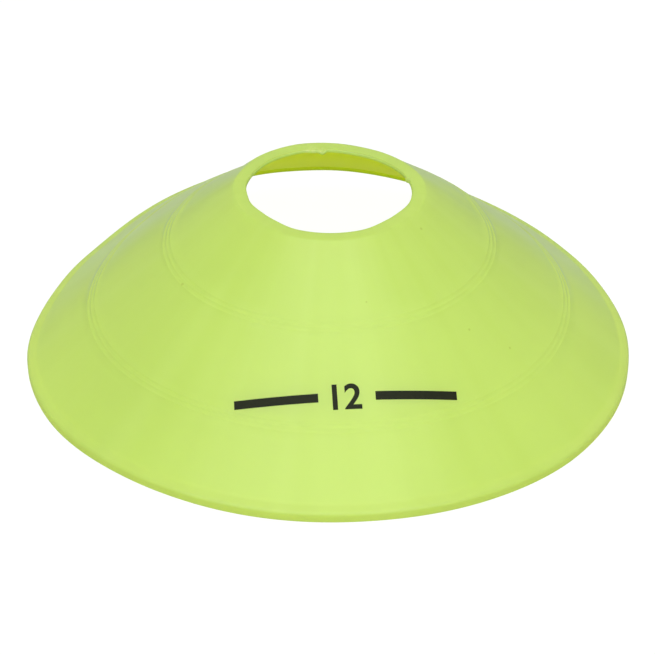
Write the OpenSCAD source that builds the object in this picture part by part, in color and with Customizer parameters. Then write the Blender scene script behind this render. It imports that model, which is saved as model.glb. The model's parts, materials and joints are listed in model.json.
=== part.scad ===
// Sports marker cone: a low disc cone, open at the top and underneath.
// It is moulded in one piece, so the whole of it is one section turned round the upright axis.
// The origin is on the floor, at the middle of the foot, and the axis of the hole is +Z.

/* [Overall] */
// Diameter over the foot
base_d = 190; // [160:1:230]
// Height from the floor to the top of the ring
cone_h = 54; // [42:1:70]
// Diameter of the hole through the top
hole_d = 50; // [30:1:64]

/* [Wall] */
// Thickness of the wall, square to its slope
wall_t = 1.3; // [1:0.1:2]

/* [Ring round the hole] */
// Width of the flat ring between the hole and the wall
ring_w = 4.3; // [3:0.1:8]
// Radius of the rounded edge where the ring turns down into the wall
ring_edge_r = 1.6; // [0.6:0.1:3]
// Radius of the same turn on the underside
ring_inner_r = 0.5; // [0.3:0.1:2]

/* [Brim and skirt] */
// Width of the flatter brim between the wall and the foot's edge
brim_w = 3; // [2:0.5:10]
// Rise of the brim over its width
brim_rise = 0.8; // [0.3:0.1:2]
// Radius of the hollow sweep from the wall into the brim
sweep_r = 3; // [1:0.5:8]
// Height of the upright skirt
skirt_h = 3; // [2.6:0.1:6]
// Thickness of the skirt
skirt_t = 1.6; // [1.4:0.1:2.4]
// Radius of the rounded edge over the skirt
skirt_edge_r = 1.2; // [0.4:0.1:1.3]

/* [Rib bands] */
// Ribs in each band
rib_count = 3; // [1:1:5]
// Distance from rib to rib, along the slope
rib_pitch = 1.5; // [1.3:0.1:2.2]
// Width of a rib where it leaves the wall
rib_w = 0.8; // [0.6:0.1:1.2]
// Height of a rib above the wall
rib_h = 0.15; // [0.1:0.05:0.3]
// Distance down the slope from the ring to the middle of the upper band
upper_band_drop = 26.8; // [16:0.1:28]
// Distance up the slope from the brim to the middle of the lower band
lower_band_rise = 22.5; // [16:0.1:26]

/* [Hidden] */
$fn = 120;
// Steps in the arc of a rounded corner, and of a rib's crown
corner_steps = 8;
crown_steps = 6;

// Corners of the outer face, as radius and height: the outside of the ring, the start of the brim,
// and the edge where the brim turns down into the skirt
ring = [hole_d / 2 + ring_w, cone_h];
edge = [base_d / 2, skirt_h];
brim = edge + [-brim_w, brim_rise];

// How steeply the wall and the brim fall, in degrees
wall_slope = atan2(ring.y - brim.y, brim.x - ring.x);
brim_slope = atan2(brim_rise, brim_w);

// The inner face lies one wall thickness inside the outer one
bend = (wall_slope - brim_slope) / 2;
inner_brim = brim - wall_t / cos(bend) * [sin(wall_slope - bend), cos(wall_slope - bend)];
inner_ring = ring - wall_t * [tan(wall_slope / 2), 1];
inner_edge_z = edge.y + skirt_t * tan(brim_slope) - wall_t / cos(brim_slope);

// The middle of the lower band, measured down the slope from the ring as the upper one's is
lower_band_drop = norm(ring - brim) - lower_band_rise;

// A rib's crown is an arc through its two edges and its crest
crown_r = (rib_w * rib_w / 4 + rib_h * rib_h) / (2 * rib_h);
crown_half_angle = asin(rib_w / 2 / crown_r);

function direction(angle) = [cos(angle), sin(angle)];

function arc(centre, r, first, last, steps) =
    [for (i = [0 : steps]) centre + r * direction(first + (last - first) * i / steps)];

// A corner of the section rounded to radius r. The outline comes to it along one face and leaves it
// along the other, and from_dir and to_dir are the directions of those faces as seen from the corner.
function rounded(corner, from_dir, to_dir, r) =
    let (
        half = abs(from_dir - to_dir) / 2,
        turn = sign(from_dir - to_dir),
        centre = corner + r / sin(half) * direction((from_dir + to_dir) / 2),
        first = from_dir + turn * 90
    )
    arc(centre, r, first, first + turn * (180 - 2 * half), corner_steps);

// The crown of the rib whose middle is this far down the slope from the ring
function crown(drop) =
    let (
        foot = ring + drop * direction(-wall_slope),
        middle = 90 - wall_slope,
        centre = foot + (rib_h - crown_r) * direction(middle)
    )
    arc(centre, crown_r, middle + crown_half_angle, middle - crown_half_angle, crown_steps);

function rib_band(drop) =
    [for (i = [0 : rib_count - 1]) each crown(drop + (i - (rib_count - 1) / 2) * rib_pitch)];

// The section of the wall: over the ring, down the outer face, round the skirt and up the inner face.
// The hole is punched out of the ring, so its edges are square.
module section() {
    polygon([
        [hole_d / 2, inner_ring.y],
        [hole_d / 2, cone_h],
        each rounded(ring, 180, 360 - wall_slope, ring_edge_r),
        each rib_band(upper_band_drop),
        each rib_band(lower_band_drop),
        each rounded(brim, 180 - wall_slope, -brim_slope, sweep_r),
        each rounded(edge, 180 - brim_slope, 270, skirt_edge_r),
        [edge.x, 0],
        [edge.x - skirt_t, 0],
        [edge.x - skirt_t, inner_edge_z],
        each rounded(inner_brim, -brim_slope, 180 - wall_slope, sweep_r + wall_t),
        each rounded(inner_ring, -wall_slope, -180, ring_inner_r)
    ]);
}

// The whole moulding: soft polyethylene, the same colour right through
module cone_shell() {
    color("#c8e86e")
        rotate_extrude()
            section();
}

cone_shell();
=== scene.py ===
import json
import math

import bmesh
import bpy
from mathutils import Matrix, Vector


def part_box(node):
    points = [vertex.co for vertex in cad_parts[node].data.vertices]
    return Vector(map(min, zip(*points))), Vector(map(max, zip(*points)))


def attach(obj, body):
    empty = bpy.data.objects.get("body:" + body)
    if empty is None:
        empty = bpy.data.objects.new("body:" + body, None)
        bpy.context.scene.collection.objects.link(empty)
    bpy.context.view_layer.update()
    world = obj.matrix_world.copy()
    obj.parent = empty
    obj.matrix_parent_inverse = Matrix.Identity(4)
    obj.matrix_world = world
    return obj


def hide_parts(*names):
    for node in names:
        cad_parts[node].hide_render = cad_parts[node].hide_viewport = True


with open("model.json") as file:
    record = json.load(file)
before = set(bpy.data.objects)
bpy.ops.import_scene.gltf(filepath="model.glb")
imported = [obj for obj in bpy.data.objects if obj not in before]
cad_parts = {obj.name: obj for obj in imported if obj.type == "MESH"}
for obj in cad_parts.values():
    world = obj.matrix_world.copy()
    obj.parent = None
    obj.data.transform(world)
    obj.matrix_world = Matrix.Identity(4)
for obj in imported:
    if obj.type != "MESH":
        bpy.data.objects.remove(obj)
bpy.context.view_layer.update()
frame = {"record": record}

# The shell is the whole cone: top ring, wall, rib bands, brim and skirt are one thin skin of soft
# polyethylene. It is injection moulded, so its section is drawn first and then spun round the
# upright axis of the mould.
mm = 0.001
quarter = math.pi / 2
low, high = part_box("cone_shell")
foot_r = -low.x
cone_h = high.z
hole_r = next(m for m in frame["record"]["mounts"] if m["name"] == "top_hole")["dims"]["r_mm"] * mm
wall_t = 1.3 * mm
ring_w = 4.3 * mm
ring_edge_r = 1.6 * mm
ring_inner_r = 0.5 * mm
cut_edge_r = 0.35 * mm
brim_w = 3 * mm
brim_rise = 0.8 * mm
sweep_r = 3 * mm
skirt_h = 3 * mm
skirt_t = 1.6 * mm
skirt_edge_r = 1.2 * mm
skirt_inner_r = 0.6 * mm
foot_edge_r = 0.3 * mm
rib_count = 3
rib_pitch = 1.5 * mm
rib_w = 0.8 * mm
rib_h = 0.1 * mm
upper_band_drop = 26.8 * mm
lower_band_rise = 22.5 * mm
longest_step = 3.2 * mm
turn_steps = 320
weld_gap = mm / 200
smooth_below = math.radians(40)

ring = Vector((hole_r + ring_w, cone_h))
edge = Vector((foot_r, skirt_h))
brim = edge + Vector((-brim_w, brim_rise))
wall_slope = math.atan2(ring.y - brim.y, brim.x - ring.x)
brim_slope = math.atan2(brim_rise, brim_w)


def direction(angle):
    """A step of length 1 at this angle."""
    return Vector((math.cos(angle), math.sin(angle)))


def arc(centre, r, first, last, steps):
    """The points of an arc round the centre, from the first angle to the last."""
    return [centre + r * direction(first + (last - first) * i / steps) for i in range(steps + 1)]


def rounded(corner, from_dir, to_dir, r, steps=8):
    """The points of a corner rounded to radius r, between faces that leave it in these directions."""
    half = abs(from_dir - to_dir) / 2
    turn = math.copysign(1, from_dir - to_dir)
    centre = corner + r / math.sin(half) * direction((from_dir + to_dir) / 2)
    first = from_dir + turn * quarter
    return arc(centre, r, first, first + turn * (math.pi - 2 * half), steps)


def crown(drop):
    """The rounded top of the rib whose middle is this far down the wall from the ring."""
    crown_r = (rib_w * rib_w / 4 + rib_h * rib_h) / (2 * rib_h)
    half = math.asin(rib_w / 2 / crown_r)
    middle = quarter - wall_slope
    centre = ring + drop * direction(-wall_slope) + (rib_h - crown_r) * direction(middle)
    return arc(centre, crown_r, middle + half, middle - half, 6)


def draw_on(points):
    """Draws the outline of the section on through these points, each a radius and a height."""
    for point in points:
        drawn = bmesh.from_edit_mesh(bpy.context.object.data)
        pen = next(v for v in drawn.verts if v.select).co
        step = Vector((point.x, 0, point.y)) - pen
        bpy.ops.mesh.extrude_vertices_move(TRANSFORM_OT_translate={"value": step})


bpy.ops.object.select_all(action="DESELECT")
start = Vector((hole_r, cone_h - wall_t / 2))
bpy.ops.mesh.primitive_plane_add(size=mm, location=(start.x, 0, start.y))
shell = bpy.context.object
shell.name = "moulded_shell"
bpy.ops.object.transform_apply(location=True)
bpy.ops.object.mode_set(mode="EDIT")
bpy.ops.mesh.merge(type="CENTER")
draw_on(rounded(Vector((hole_r, cone_h)), -quarter, 0, cut_edge_r, 3))
draw_on(rounded(ring, math.pi, math.tau - wall_slope, ring_edge_r))
lower_band_drop = (ring - brim).length - lower_band_rise
for band_drop in (upper_band_drop, lower_band_drop):
    for rib in range(rib_count):
        draw_on(crown(band_drop + (rib - (rib_count - 1) / 2) * rib_pitch))
draw_on(rounded(brim, math.pi - wall_slope, -brim_slope, sweep_r))
draw_on(rounded(edge, math.pi - brim_slope, 3 * quarter, skirt_edge_r))
draw_on(rounded(Vector((foot_r, 0)), quarter, math.pi, foot_edge_r, 3))
draw_on(rounded(Vector((foot_r - skirt_t, 0)), 0, quarter, foot_edge_r, 3))
inner_edge = edge + Vector((-skirt_t, skirt_t * math.tan(brim_slope) - wall_t / math.cos(brim_slope)))
draw_on(rounded(inner_edge, 3 * quarter, math.pi - brim_slope, skirt_inner_r, 4))
bend = (wall_slope - brim_slope) / 2
inner_way = direction(wall_slope - bend)
inner_brim = brim - wall_t / math.cos(bend) * Vector((inner_way.y, inner_way.x))
draw_on(rounded(inner_brim, -brim_slope, math.pi - wall_slope, sweep_r + wall_t))
inner_ring = ring - wall_t * Vector((math.tan(wall_slope / 2), 1))
draw_on(rounded(inner_ring, -wall_slope, -math.pi, ring_inner_r))
draw_on(rounded(Vector((hole_r, inner_ring.y)), 0, quarter, cut_edge_r, 3))
draw_on([start])

# Long stretches of the outline are cut shorter, so that the soft wall can bow, and the outline is spun.
bpy.ops.mesh.select_all(action="SELECT")
bpy.ops.mesh.remove_doubles(threshold=weld_gap)
bpy.ops.mesh.select_mode(type="EDGE")
for halving in range(5):
    outline = bmesh.from_edit_mesh(shell.data)
    for side in outline.edges:
        side.select_set(side.calc_length() > longest_step)
    bmesh.update_edit_mesh(shell.data)
    bpy.ops.mesh.subdivide(number_cuts=1)
bpy.ops.mesh.select_all(action="SELECT")
bpy.ops.mesh.spin(steps=turn_steps, angle=math.tau, center=(0, 0, 0), axis=(0, 0, 1))
bpy.ops.mesh.select_all(action="SELECT")
bpy.ops.mesh.remove_doubles(threshold=weld_gap)
bpy.ops.mesh.normals_make_consistent(inside=False)
bpy.ops.mesh.select_mode(type="VERT")


def pull(bearing, half_width, inner_r, outer_r, outward, upward, reach):
    """Pulls a patch of the soft skin outward and upward, and the skin within reach along with it.

    The patch lies at this bearing, in degrees, and between these radii."""
    bpy.ops.mesh.select_all(action="DESELECT")
    skin = bmesh.from_edit_mesh(bpy.context.object.data)
    for v in skin.verts:
        off = (math.degrees(math.atan2(v.co.y, v.co.x)) - bearing + 180) % 360 - 180
        v.select_set(inner_r <= math.hypot(v.co.x, v.co.y) <= outer_r and abs(off) <= half_width)
    skin.select_flush_mode()
    bmesh.update_edit_mesh(bpy.context.object.data)
    away = direction(math.radians(bearing)) * outward
    bpy.ops.transform.translate(value=(away.x, away.y, upward), use_proportional_edit=True,
                                use_proportional_connected=True, proportional_edit_falloff="SMOOTH",
                                proportional_size=reach)


# The soft skin isn't quite true. The cone stands on its two sides, its rim is bent up off the floor
# at the back and a little at the front, and the foot is rounder at the front than behind.
rim_inner_r = foot_r - skirt_t - 0.1 * mm
for bearing, half_width, outward, upward, reach in (
        (97, 5, 0, 7.3 * mm, 80 * mm),
        (-101, 14, 0, 2.25 * mm, 75 * mm),
        (158, 6, -2.4 * mm, 0, 45 * mm),
        (24, 6, -1.3 * mm, 0, 40 * mm),
        (-157, 6, 0.9 * mm, 0, 40 * mm),
        (55, 6, 0, 0.5 * mm, 35 * mm),
        (-32, 6, 0.8 * mm, 0, 40 * mm)):
    pull(bearing, half_width, rim_inner_r, foot_r + mm, outward, upward, reach)

# The wall is a little fuller on the two far shoulders, and behind, the ring dips a little on the right
# and is a little wider on the left.
shoulder_inner_r = ring.x + 16 * mm
shoulder_outer_r = ring.x + 22 * mm
for bearing, swell in ((37, 0.6 * mm), (140, 0.4 * mm)):
    pull(bearing, 6, shoulder_inner_r, shoulder_outer_r, swell / 2, swell, 14 * mm)
ring_inner_edge = hole_r + 0.5 * mm
pull(52, 14, ring_inner_edge, ring.x, 0, -0.5 * mm, 14 * mm)
pull(125, 14, ring_inner_edge, ring.x, 0.9 * mm, 0, 12 * mm)

# The hole was trimmed by hand after moulding, so it is narrower towards the front, and where the knife
# started and stopped it left nicks.
trimmed_r = hole_r + 1.3 * mm
for bearing, half_width, outward, upward, reach in (
        (-138, 5, -0.9 * mm, 0, 10 * mm),
        (-42, 5, -0.8 * mm, 0, 10 * mm),
        (168, 5, 0.6 * mm, 0, 8 * mm),
        (95.5, 1.2, -0.5 * mm, -0.7 * mm, 1.3 * mm),
        (101, 2.4, -0.15 * mm, -0.25 * mm, 2.5 * mm),
        (17, 1.2, -0.5 * mm, -0.2 * mm, 1.4 * mm)):
    pull(bearing, half_width, 0, trimmed_r, outward, upward, reach)
bpy.ops.object.mode_set(mode="OBJECT")
bpy.ops.object.shade_smooth_by_angle(angle=smooth_below)
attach(shell, "root")
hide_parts("cone_shell")


def node(tree, kind, plugs=None, **settings):
    """Adds a node with these settings, and gives each plug a value or joins it to another node."""
    made = tree.nodes.new(kind)
    for name, value in settings.items():
        setattr(made, name, value)
    for plug, value in (plugs or {}).items():
        if isinstance(value, bpy.types.NodeSocket):
            tree.links.new(value, made.inputs[plug])
        else:
            made.inputs[plug].default_value = value
    return made


def new_material(name, thing):
    """Gives the thing a new material, and returns its nodes and the place on the thing."""
    made = bpy.data.materials.new(name)
    made.use_nodes = True
    thing.data.materials.append(made)
    return made.node_tree, node(made.node_tree, "ShaderNodeTexCoord").outputs["Object"]


def sum_of(tree, *values, how="ADD"):
    """Joins values two by two: adds them, or does what how says."""
    total = values[0]
    for value in values[1:]:
        total = node(tree, "ShaderNodeMath", {0: total, 1: value}, operation=how).outputs[0]
    return total


def ramp(tree, value, first, last, low_end=0.0, high_end=1.0):
    """Turns a value between first and last smoothly into one between the two ends."""
    plugs = {"Value": value, "From Min": first, "From Max": last, "To Min": low_end, "To Max": high_end}
    return node(tree, "ShaderNodeMapRange", plugs, interpolation_type="SMOOTHSTEP").outputs["Result"]


def tint(tree, mask, under, over):
    """The colour under, with the colour over where the mask is 1."""
    mixed = node(tree, "ShaderNodeMix", {0: mask, 6: under, 7: over}, data_type="RGBA")
    return mixed.outputs[2]


def noise(tree, place, scale, detail):
    """Soft random patches, about this many to the metre, with smaller ones inside them."""
    plugs = {"Vector": place, "Scale": scale, "Detail": detail}
    return node(tree, "ShaderNodeTexNoise", plugs).outputs["Fac"]


def vectors(tree, how, first, second):
    """Joins two vectors in the way that how says, such as a difference or a distance."""
    return node(tree, "ShaderNodeVectorMath", {0: first, 1: second}, operation=how).outputs


# A speck or a pale patch: 1 near its centre, fading to 0 at its radius.
spot = bpy.data.node_groups.new("spot", "ShaderNodeTree")
for socket, kind in (("Place", "NodeSocketVector"), ("Centre", "NodeSocketVector"),
                     ("Radius", "NodeSocketFloat")):
    spot.interface.new_socket(socket, in_out="INPUT", socket_type=kind)
spot.interface.new_socket("Mask", in_out="OUTPUT", socket_type="NodeSocketFloat")
given = node(spot, "NodeGroupInput").outputs
gap = vectors(spot, "DISTANCE", given["Place"], given["Centre"])["Value"]
share = sum_of(spot, gap, given["Radius"], how="DIVIDE")
node(spot, "NodeGroupOutput", {"Mask": ramp(spot, share, 0.4, 1, 1, 0)})

# A hairline scratch from one place to another: 1 along its middle, fading to 0 at its half width.
hairline = bpy.data.node_groups.new("hairline", "ShaderNodeTree")
for socket, kind in (("Place", "NodeSocketVector"), ("From", "NodeSocketVector"),
                     ("To", "NodeSocketVector"), ("Half Width", "NodeSocketFloat")):
    hairline.interface.new_socket(socket, in_out="INPUT", socket_type=kind)
hairline.interface.new_socket("Mask", in_out="OUTPUT", socket_type="NodeSocketFloat")
given = node(hairline, "NodeGroupInput").outputs
along = vectors(hairline, "SUBTRACT", given["To"], given["From"])["Vector"]
reached = vectors(hairline, "SUBTRACT", given["Place"], given["From"])["Vector"]
shadow = vectors(hairline, "DOT_PRODUCT", reached, along)["Value"]
whole = vectors(hairline, "DOT_PRODUCT", along, along)["Value"]
part = node(hairline, "ShaderNodeMath", {0: shadow, 1: whole}, operation="DIVIDE", use_clamp=True).outputs[0]
nearest = node(hairline, "ShaderNodeVectorMath", {0: along, "Scale": part}, operation="SCALE").outputs[0]
gap = vectors(hairline, "DISTANCE", reached, nearest)["Value"]
share = sum_of(hairline, gap, given["Half Width"], how="DIVIDE")
node(hairline, "NodeGroupOutput", {"Mask": ramp(hairline, share, 0.2, 1, 1, 0)})


def on_wall(bearing, r):
    """The place on the wall's outer face at this bearing in degrees and this radius."""
    across = direction(math.radians(bearing)) * r
    return Vector((across.x, across.y, ring.y - (r - ring.x) * math.tan(wall_slope)))


# The plastic is one bright yellow-green right through, a little milky, with a satin skin. It shows
# faint flow lines from the mould's middle gate, a few specks, a hairline and pale bruises at the hole,
# and a painted shade: the hole's rounded cut edge is tinted a slightly darker olive.
plastic, place = new_material("yellow_green_polyethylene", shell)
flat = vectors(plastic, "MULTIPLY", place, (1, 1, 0))["Vector"]
outward = node(plastic, "ShaderNodeVectorMath", {0: flat}, operation="NORMALIZE").outputs[0]
flow = noise(plastic, outward, 9, 4)
mottle = noise(plastic, place, 22, 2)
tone = ramp(plastic, sum_of(plastic, flow, mottle), 0.75, 1.25)
colour = tint(plastic, tone, (0.59, 0.812, 0.25, 1), (0.62, 0.842, 0.28, 1))
height = node(plastic, "ShaderNodeSeparateXYZ", {"Vector": place}).outputs["Z"]
near_top = ramp(plastic, height, 0.9 * cone_h, 0.95 * cone_h)
normal = node(plastic, "ShaderNodeTexCoord").outputs["Normal"]
faces_out = vectors(plastic, "DOT_PRODUCT", normal, outward)["Value"]
# Painted shade: near the top, where the rounded cut edge faces in towards the hole, the colour is tinted a
# darker olive.
cut_edge_shade = sum_of(plastic, near_top, ramp(plastic, faces_out, -0.4, -0.05, 1, 0), how="MULTIPLY")
cut_edge_shade = sum_of(plastic, cut_edge_shade, ramp(plastic, faces_out, -0.95, -0.75), how="MULTIPLY")
colour = tint(plastic, sum_of(plastic, cut_edge_shade, 0.45, how="MULTIPLY"), colour, (0.25, 0.36, 0.08, 1))
ragged = noise(plastic, place, 900, 3)
bruise_r = hole_r + 0.4 * mm
bruise_z = cone_h - wall_t / 3
bruises = []
for bearing, size in ((103, 3.6 * mm), (95.5, 1.6 * mm), (16, 1.6 * mm), (162, 1.4 * mm)):
    middle = direction(math.radians(bearing)) * bruise_r
    plugs = {"Place": place, "Centre": (middle.x, middle.y, bruise_z), "Radius": size}
    bruises.append(node(plastic, "ShaderNodeGroup", plugs, node_tree=spot).outputs["Mask"])
bruised = sum_of(plastic, *bruises, how="MAXIMUM")
bruised = sum_of(plastic, bruised, ramp(plastic, ragged, 0.35, 0.65, 0, 0.7), how="MULTIPLY")
colour = tint(plastic, bruised, colour, (0.78, 0.9, 0.42, 1))
specks = []
for bearing, r, size in ((-148.7, 51.1, 0.7), (-124, 64.2, 0.6), (-33.5, 32.7, 0.6), (-45, 58.2, 0.5),
                         (-37, 67, 0.5), (-155.2, 83.5, 0.6), (-101, 61, 0.4), (-76, 44.6, 0.4)):
    plugs = {"Place": place, "Centre": on_wall(bearing, r * mm), "Radius": size * mm}
    specks.append(node(plastic, "ShaderNodeGroup", plugs, node_tree=spot).outputs["Mask"])
specked = sum_of(plastic, *specks, how="MAXIMUM")
specked = sum_of(plastic, specked, 0.45, how="MULTIPLY")
colour = tint(plastic, specked, colour, (0.2, 0.25, 0.03, 1))
hairlines = []
bends = ((-92.1, 57), (-92.4, 60.9), (-94.3, 68.7), (-95, 75.6))
track = [on_wall(bearing, r * mm) for bearing, r in bends]
for first, last in zip(track, track[1:]):
    plugs = {"Place": place, "From": first, "To": last, "Half Width": 0.22 * mm}
    hairlines.append(node(plastic, "ShaderNodeGroup", plugs, node_tree=hairline).outputs["Mask"])
scratched = sum_of(plastic, *hairlines, how="MAXIMUM")
colour = tint(plastic, sum_of(plastic, scratched, 0.3, how="MULTIPLY"), colour, (0.4, 0.5, 0.1, 1))
bsdf = plastic.nodes["Principled BSDF"]
plastic.links.new(colour, bsdf.inputs["Base Color"])
bsdf.inputs["Specular IOR Level"].default_value = 0.85
grain = noise(plastic, place, 2600, 2)
wave = noise(plastic, place, 45, 1)
plastic.links.new(ramp(plastic, mottle, 0.3, 0.7, 0.29, 0.35), bsdf.inputs["Roughness"])
relief = node(plastic, "ShaderNodeBump", {"Height": wave, "Strength": 1, "Distance": 0.15 * mm})
relief = node(plastic, "ShaderNodeBump", {"Height": grain, "Strength": 1, "Distance": 0.004 * mm,
                                          "Normal": relief.outputs["Normal"]})
relief = node(plastic, "ShaderNodeBump", {"Height": scratched, "Strength": 1, "Distance": 0.03 * mm,
                                          "Normal": relief.outputs["Normal"]}, invert=True)
plastic.links.new(relief.outputs["Normal"], bsdf.inputs["Normal"])

# The skin is so thin that daylight comes through it, and what comes through is a warmer yellow.
# The trimmed face of the hole lets little of it through, and so does the glossy outer face where it
# is seen edge on and mirrors the room instead.
through = node(plastic, "ShaderNodeBsdfTranslucent", {"Color": (0.91, 0.92, 0.085, 1)}).outputs["BSDF"]
faces_up = node(plastic, "ShaderNodeSeparateXYZ", {"Vector": normal}).outputs["Z"]
upright = ramp(plastic, sum_of(plastic, faces_up, faces_up, how="MULTIPLY"), 0.2, 0.4, 1, 0)
trimmed = sum_of(plastic, upright, near_top, how="MULTIPLY")
let_in = ramp(plastic, trimmed, 0, 1, 0.5, 0.1)
outer_face = ramp(plastic, faces_up, 0, 0.2)
grazing = node(plastic, "ShaderNodeFresnel", {"IOR": 1.5}).outputs["Fac"]
mirrored = sum_of(plastic, grazing, outer_face, how="MULTIPLY")
let_in = sum_of(plastic, let_in, ramp(plastic, mirrored, 0.07, 0.55, 1, 0.2), how="MULTIPLY")
skin = node(plastic, "ShaderNodeMixShader", {"Fac": let_in, 1: bsdf.outputs["BSDF"], 2: through}).outputs[0]
plastic.links.new(skin, plastic.nodes["Material Output"].inputs["Surface"])

# The mark is a film of black ink that a soft pad presses on in one straight line between the rib
# bands, a little to the right of the middle. It is a plain number between two plain bars.
mark_bearing = math.radians(4.5)
mark_roll = math.radians(0.4)
mark_r = 66.3 * mm
mark_w = 64 * mm
digit_h = 7.6 * mm
stroke_swell = 0.02
bar_h = 2.6 * mm
bar_gap = 4 * mm
ink_step = 2 * mm
ink_lift = 0.03 * mm
ink_t = 0.02 * mm
pad_away = 20 * mm
bpy.ops.object.select_all(action="DESELECT")
bpy.ops.object.text_add()
mark = bpy.context.object
mark.name = "printed_mark"
mark.data.body = "12"
mark.data.align_x = "CENTER"
mark.data.align_y = "CENTER"
mark.data.offset = stroke_swell
bpy.ops.object.convert(target="MESH")
bpy.ops.object.mode_set(mode="EDIT")
bpy.ops.mesh.select_all(action="SELECT")
corners = [v.co for v in bmesh.from_edit_mesh(mark.data).verts]
left, right = min(c.x for c in corners), max(c.x for c in corners)
bottom, top = min(c.y for c in corners), max(c.y for c in corners)
bpy.ops.transform.translate(value=(-(left + right) / 2, -(bottom + top) / 2, 0))
grow = digit_h / (top - bottom)
bpy.ops.transform.resize(value=(grow, grow, grow), center_override=(0, 0, 0))
number_w = (right - left) * grow
bar_w = (mark_w - number_w) / 2 - bar_gap
for side in (-1, 1):
    bpy.ops.mesh.primitive_plane_add(size=1)
    bpy.ops.transform.resize(value=(bar_w, bar_h, 1), center_override=(0, 0, 0))
    bpy.ops.transform.translate(value=(side * (mark_w - bar_w) / 2, 0, 0))
for axis, span in (((1, 0, 0), mark_w), ((0, 1, 0), digit_h)):
    cuts = round(span / ink_step)
    for cut in range(1, cuts):
        at = Vector(axis) * (span * cut / cuts - span / 2)
        bpy.ops.mesh.select_all(action="SELECT")
        bpy.ops.mesh.bisect(plane_co=at, plane_no=axis)
bpy.ops.mesh.select_all(action="SELECT")
bpy.ops.mesh.quads_convert_to_tris()
bpy.ops.object.mode_set(mode="OBJECT")
pad_out = Matrix.Rotation(mark_bearing, 3, "Z") @ Matrix.Rotation(wall_slope, 3, "X")
mark.rotation_euler = (pad_out @ Matrix.Rotation(mark_roll, 3, "Z")).to_euler()
mark.location = on_wall(math.degrees(mark_bearing) - 90, mark_r) + pad_out.col[2] * pad_away
press = mark.modifiers.new("press_on", "SHRINKWRAP")
press.target = shell
press.wrap_method = "PROJECT"
press.use_project_z = True
press.use_negative_direction = True
press.use_positive_direction = False
press.wrap_mode = "ABOVE_SURFACE"
press.offset = ink_lift
bpy.ops.object.modifier_apply(modifier=press.name)
film = mark.modifiers.new("film", "SOLIDIFY")
film.thickness = ink_t
film.offset = -1
bpy.ops.object.modifier_apply(modifier=film.name)
bpy.ops.object.transform_apply(location=True, rotation=True)
bpy.ops.object.shade_smooth_by_angle(angle=smooth_below)
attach(mark, "root")

# The ink is a warm black with a slight gloss of its own.
ink, place = new_material("black_pad_ink", mark)
bsdf = ink.nodes["Principled BSDF"]
thin = ramp(ink, noise(ink, place, 700, 3), 0.35, 0.75)
black = tint(ink, thin, (0.009, 0.012, 0.003, 1), (0.015, 0.018, 0.006, 1))
ink.links.new(black, bsdf.inputs["Base Color"])
ink.links.new(ramp(ink, thin, 0, 1, 0.42, 0.55), bsdf.inputs["Roughness"])
bsdf.inputs["Specular IOR Level"].default_value = 0.12

# The floor is a plain white studio table. The camera sees it as white as the room, straight or through
# the thin skin, with the shadow of the cone still on it. In the cone's gloss it is plain paper.
bpy.ops.object.select_all(action="DESELECT")
bpy.ops.mesh.primitive_plane_add(size=6, location=(0, 0, 0))
floor = bpy.context.object
floor.name = "studio_floor"
white = bpy.data.materials.new("studio_white")
white.use_nodes = True
floor.data.materials.append(white)
white = white.node_tree
white.nodes.clear()
rays = node(white, "ShaderNodeLightPath").outputs
seen = sum_of(white, rays["Is Camera Ray"], rays["Is Transmission Ray"], how="MAXIMUM")
paper = node(white, "ShaderNodeBsdfDiffuse", {"Color": (0.65, 0.65, 0.65, 1)}).outputs[0]
dim_paper = node(white, "ShaderNodeBsdfDiffuse", {"Color": (0.1, 0.1, 0.1, 1)}).outputs[0]
glow = node(white, "ShaderNodeEmission", {"Color": (0.97, 0.97, 0.97, 1)}).outputs[0]
lit = node(white, "ShaderNodeAddShader", {0: dim_paper, 1: glow}).outputs[0]
choice = node(white, "ShaderNodeMixShader", {"Fac": seen, 1: paper, 2: lit}).outputs[0]
node(white, "ShaderNodeOutputMaterial", {"Surface": choice})

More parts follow.
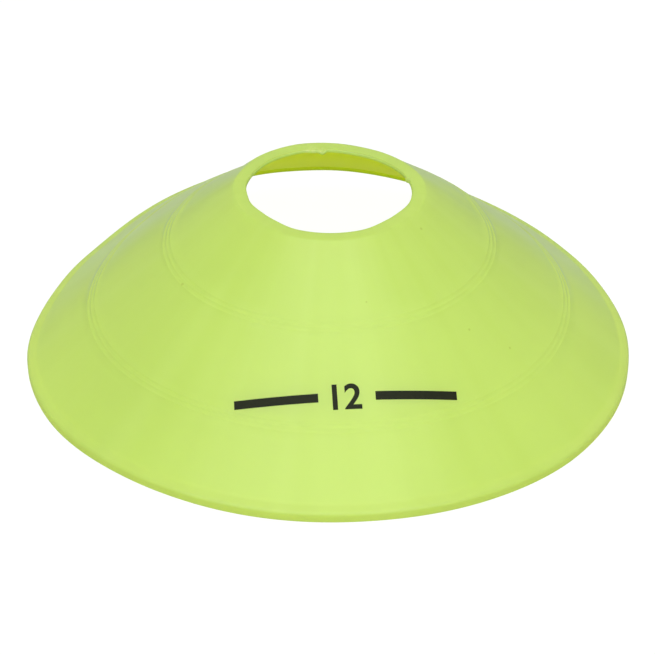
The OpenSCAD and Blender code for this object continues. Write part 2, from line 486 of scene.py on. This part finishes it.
# The studio is white all round, and three wide soft lamps hang over the table: one at each side in
# front, and one overhead.
world = bpy.data.worlds.new("studio_world")
bpy.context.scene.world = world
world.use_nodes = True
room = world.node_tree
room.nodes.clear()
rays = node(room, "ShaderNodeLightPath").outputs
seen = sum_of(room, rays["Is Camera Ray"], rays["Is Glossy Ray"], rays["Is Transmission Ray"],
              how="MAXIMUM")
fill = node(room, "ShaderNodeBackground", {"Color": (1, 1, 1, 1), "Strength": 0.26}).outputs[0]
backdrop = node(room, "ShaderNodeBackground", {"Color": (1, 1, 1, 1), "Strength": 1}).outputs[0]
choice = node(room, "ShaderNodeMixShader", {"Fac": seen, 1: fill, 2: backdrop}).outputs[0]
node(room, "ShaderNodeOutputWorld", {"Surface": choice})
lamp_size = 1
lamp_away = 1.2


def lamp(name, bearing, elevation, power):
    """A soft square lamp that looks at the cone from this bearing and elevation, in degrees."""
    a, e = math.radians(bearing), math.radians(elevation)
    back = Vector((math.sin(a) * math.cos(e), -math.cos(a) * math.cos(e), math.sin(e)))
    bpy.ops.object.light_add(type="AREA", location=back * lamp_away)
    made = bpy.context.object
    made.name = name
    made.rotation_euler = (-back).to_track_quat("-Z", "Y").to_euler()
    made.data.size = lamp_size
    made.data.energy = power


lamp("left_key_softbox", -31, 40, 4.3)
lamp("right_key_softbox", 25, 40, 4.5)
lamp("overhead_softbox", 0, 86, 5.1)

# The camera looks down at the cone from the front, through a long lens.
view_from = 610 * mm
view_down = math.radians(34.66)
picture_px = 655
focal_px = 1906
tilt_up, swing, roll = math.radians(0.24), math.radians(-0.05), math.radians(0.31)
bpy.ops.object.camera_add(location=(0, -view_from * math.cos(view_down), view_from * math.sin(view_down)))
camera = bpy.context.object
camera.name = "camera"
aim = (Matrix.Rotation(-swing, 3, "Z") @ Matrix.Rotation(quarter - view_down + tilt_up, 3, "X")
       @ Matrix.Rotation(roll, 3, "Z"))
camera.rotation_euler = aim.to_euler()
camera.data.lens = camera.data.sensor_width * focal_px / picture_px
camera.data.clip_start = 0.01
bpy.context.scene.camera = camera
bpy.context.scene.view_settings.view_transform = "Standard"
